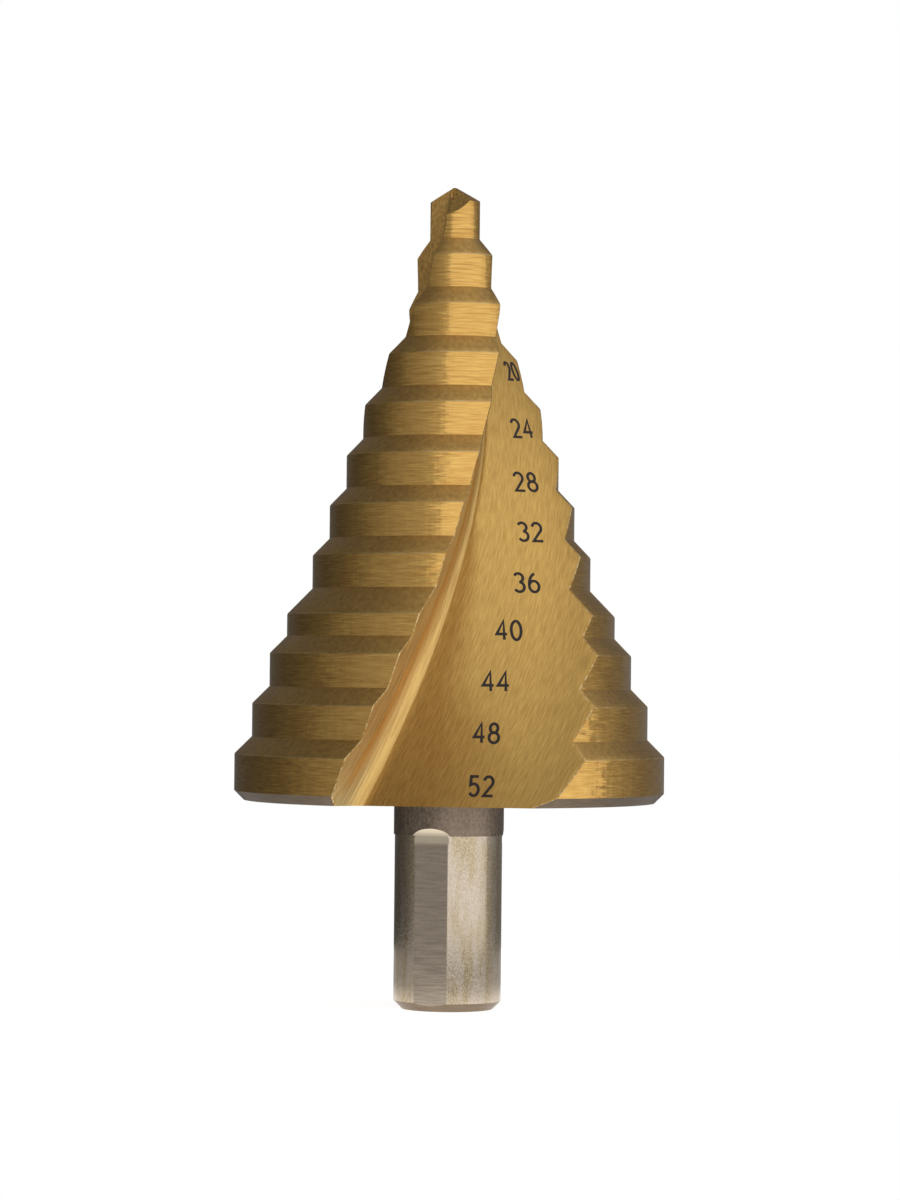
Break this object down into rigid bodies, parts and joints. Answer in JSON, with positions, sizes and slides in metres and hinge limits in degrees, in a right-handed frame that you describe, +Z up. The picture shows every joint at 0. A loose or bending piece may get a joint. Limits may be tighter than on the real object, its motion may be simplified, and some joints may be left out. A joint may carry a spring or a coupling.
{
  "type": "step drill bit",
  "caption": "Two-flute helical step drill bit with a drill point, twelve stepped diameters from 6 to 52 mm and a round shank with three clamping flats.",
  "frame": {"origin": "centre of the shank's flat end face", "axes": "+Z up the drill's axis to the point; the cutting corners of the widest step lie on the Y axis"},
  "size_m": [0.05, 0.052, 0.096],
  "materials": {
    "coated_steel": "gold-coloured hard coating on ground steel, the shank left bare"
  },
  "bodies": {
    "root": {"step_drill": "coated_steel"}
  },
  "joints": []
}
